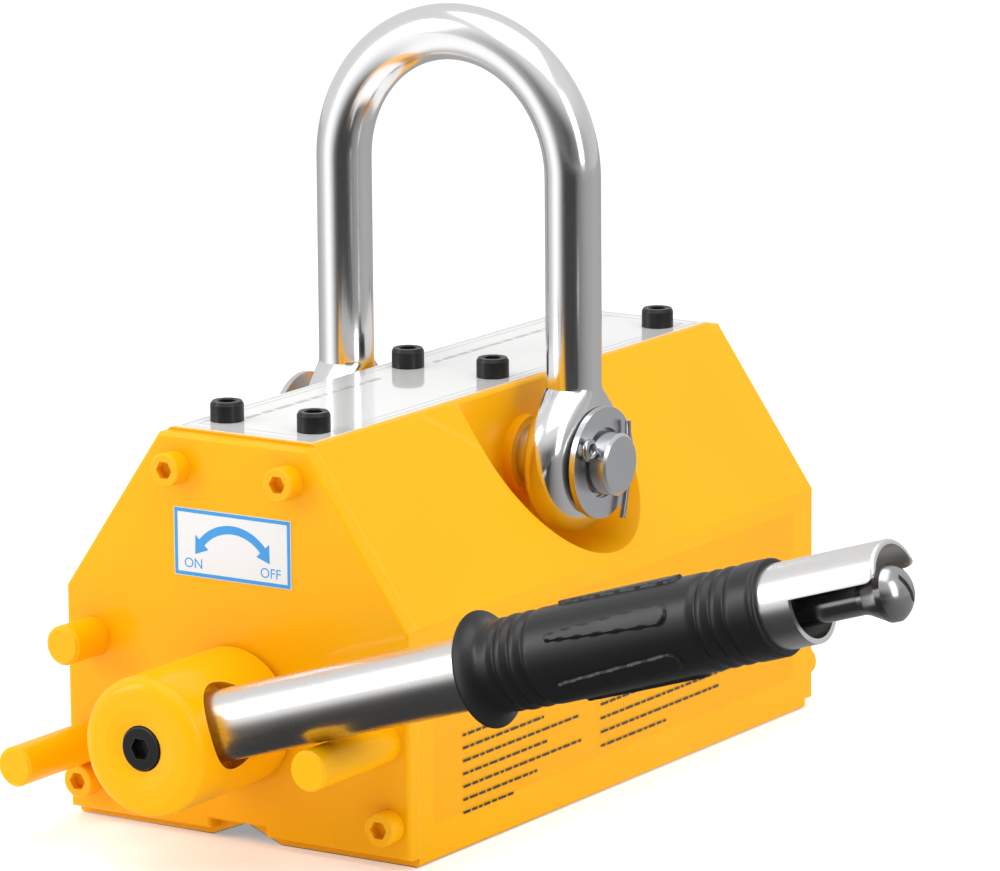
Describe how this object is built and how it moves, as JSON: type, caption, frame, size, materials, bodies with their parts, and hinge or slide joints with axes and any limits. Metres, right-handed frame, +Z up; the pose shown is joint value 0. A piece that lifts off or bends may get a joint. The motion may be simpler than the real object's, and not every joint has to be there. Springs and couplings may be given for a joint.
{
  "type": "permanent lifting magnet",
  "caption": "Hand-switched permanent lifting magnet: six-sided yellow block with a swinging steel shackle, a front switch lever with a rubber grip, stop pins and a V-grooved lifting face.",
  "frame": {"origin": "on the lifting face, on the V-groove's centreline, half way along the magnet body", "axes": "+Z up, +Y from the front (lever) cover towards the rear cover, +X to the right seen from the front"},
  "size_m": [0.3029, 0.286, 0.2355],
  "materials": {
    "yellow_paint": "gloss enamel",
    "black_oxide": "black oxide, semi-gloss",
    "polished_steel": "polished",
    "satin_steel": "fine satin",
    "bare_steel": "machined",
    "stainless": "ground",
    "magnet": "nickel plated",
    "bronze": "machined",
    "grip_rubber": "satin moulded",
    "seal_rubber": "matte",
    "clear_film": "clear glossy film",
    "printed_label": "printed glossy film"
  },
  "bodies": {
    "housing": {"pole_shoe_right": "yellow_paint", "pole_shoe_left": "yellow_paint", "pole_gap_bar": "stainless", "fixed_magnet": "magnet", "pole_spacer": "stainless", "top_plate": "yellow_paint", "top_label": "clear_film", "top_screws": "black_oxide", "front_cover": "yellow_paint", "rear_cover": "yellow_paint", "front_cover_screws": "yellow_paint", "rear_cover_screws": "yellow_paint", "switch_label": "printed_label", "side_label": "clear_film", "off_stop_pin": "yellow_paint", "on_stop_pin": "yellow_paint", "plunger_spring": "bare_steel", "front_bearing_carrier": "bare_steel", "front_shaft_bush": "bronze", "rear_bearing_carrier": "bare_steel", "rear_shaft_bush": "bronze", "thrust_washers": "bronze", "shaft_seal": "seal_rubber", "lifting_pin": "polished_steel", "pin_bushes": "yellow_paint", "pin_washers": "polished_steel", "cotter_pins": "bare_steel"},
    "lever": {"rotor_front_end": "bare_steel", "rotor_rear_end": "bare_steel", "rotor_pole_right": "bare_steel", "rotor_pole_left": "bare_steel", "rotor_magnet": "magnet", "rotor_screws": "black_oxide", "hub": "yellow_paint", "hub_key": "bare_steel", "hub_screw": "black_oxide", "lever_tube": "satin_steel", "lever_root_plug": "bare_steel", "guard_sleeve": "polished_steel", "grip": "grip_rubber", "latch_guide": "bronze", "latch_spring": "bare_steel"},
    "shackle": {"shackle": "polished_steel"},
    "latch": {"latch_rod": "polished_steel"},
    "plunger": {"lock_plunger": "yellow_paint"}
  },
  "joints": [
    {"name": "lever_turn", "type": "hinge", "parent": "housing", "child": "lever", "pos_m": [0, 0, 0.0391], "axis": [0, -1, 0], "range_deg": [0, 160]},
    {"name": "shackle_swing", "type": "hinge", "parent": "housing", "child": "shackle", "pos_m": [0.0032, 0, 0.0995], "axis": [1, 0, 0], "range_deg": [-58, 58]},
    {"name": "latch_pull", "type": "slide", "parent": "lever", "child": "latch", "axis": [0.9553, 0, 0.2957], "range_m": [0, 0.008], "stiffness_N_per_m": 600, "springref_m": -0.006},
    {"name": "plunger_press", "type": "slide", "parent": "housing", "child": "plunger", "axis": [0, 1, 0], "range_m": [0, 0.008], "stiffness_N_per_m": 900, "springref_m": -0.004}
  ]
}
